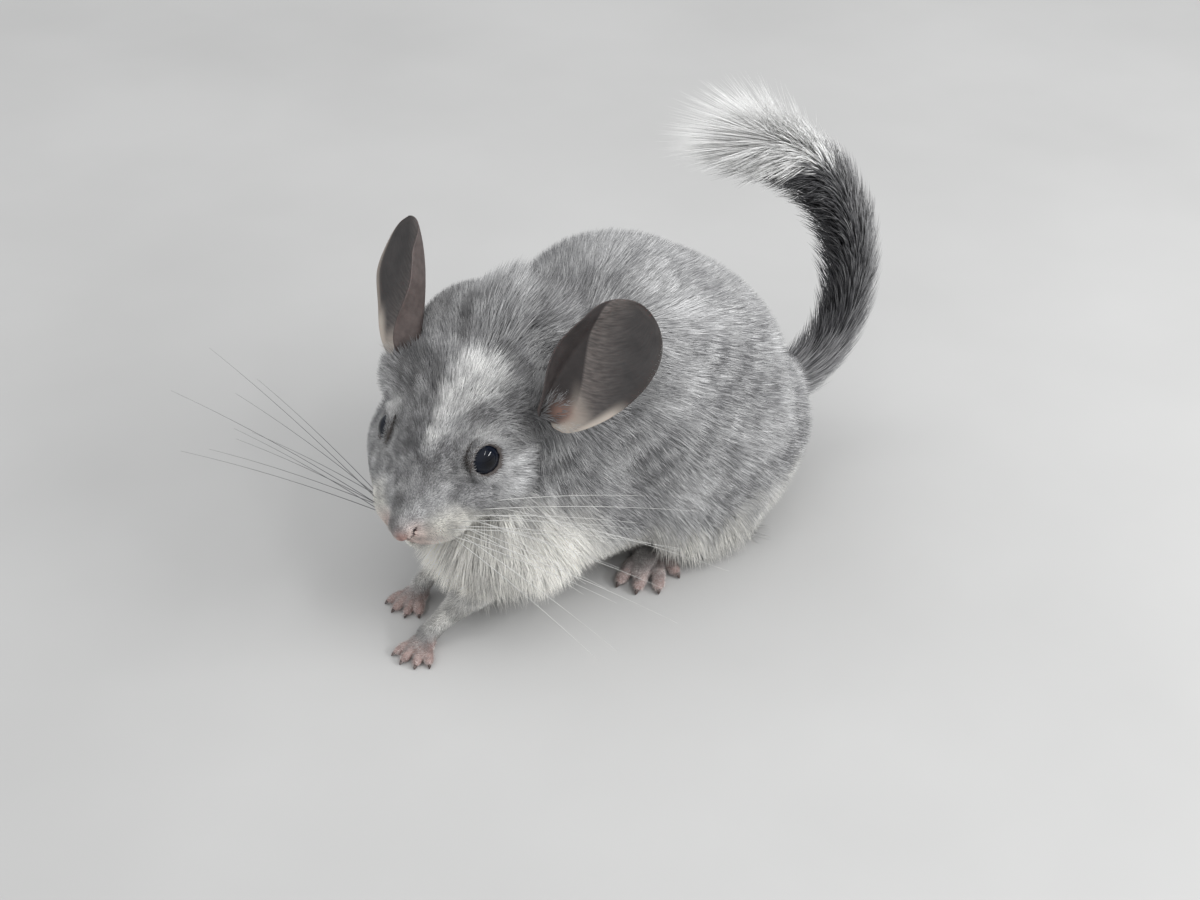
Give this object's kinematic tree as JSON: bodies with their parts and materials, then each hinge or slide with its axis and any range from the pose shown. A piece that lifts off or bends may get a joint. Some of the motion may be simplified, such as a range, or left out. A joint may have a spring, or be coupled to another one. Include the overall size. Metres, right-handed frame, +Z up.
{
  "type": "chinchilla",
  "caption": "Life-size still model of a young grey chinchilla crouching on all fours, head turned, large cupped ears up, bushy tail curled up over its rump.",
  "frame": {"origin": "on the floor under the middle of the whole model's bounding box, whiskers and tail included", "axes": "+Z up, the animal faces -Y, +X is its left side"},
  "size_m": [0.1358, 0.2182, 0.1416],
  "materials": {
    "coat": "dense soft silver-grey fur with darker ticking, cream-white below",
    "eye": "wet glossy black",
    "ear_skin": "thin bare brown-grey skin with fine pale hairs, pinkish at the root",
    "tail_hair": "long bristly dark hair with pale grey edges",
    "tail_tip_hair": "long white bristly hair",
    "leg_hair": "short cream-white fur",
    "paw_skin": "pale pink skin with short white hair and small dark nails"
  },
  "bodies": {
    "root": {"torso": "coat", "neck": "coat", "head": "coat", "haunch_left": "coat", "haunch_right": "coat", "whisker_pad_left": "coat", "whisker_pad_right": "coat", "eye_left": "eye", "eye_right": "eye", "ear_left": "ear_skin", "ear_right": "ear_skin", "tail_root": "tail_hair", "tail_middle": "tail_hair", "tail_tip": "tail_tip_hair", "foreleg_left": "leg_hair", "foreleg_right": "leg_hair", "forepaw_left": "paw_skin", "forepaw_right": "paw_skin", "hind_foot_left": "paw_skin", "hind_foot_right": "paw_skin"}
  },
  "joints": []
}
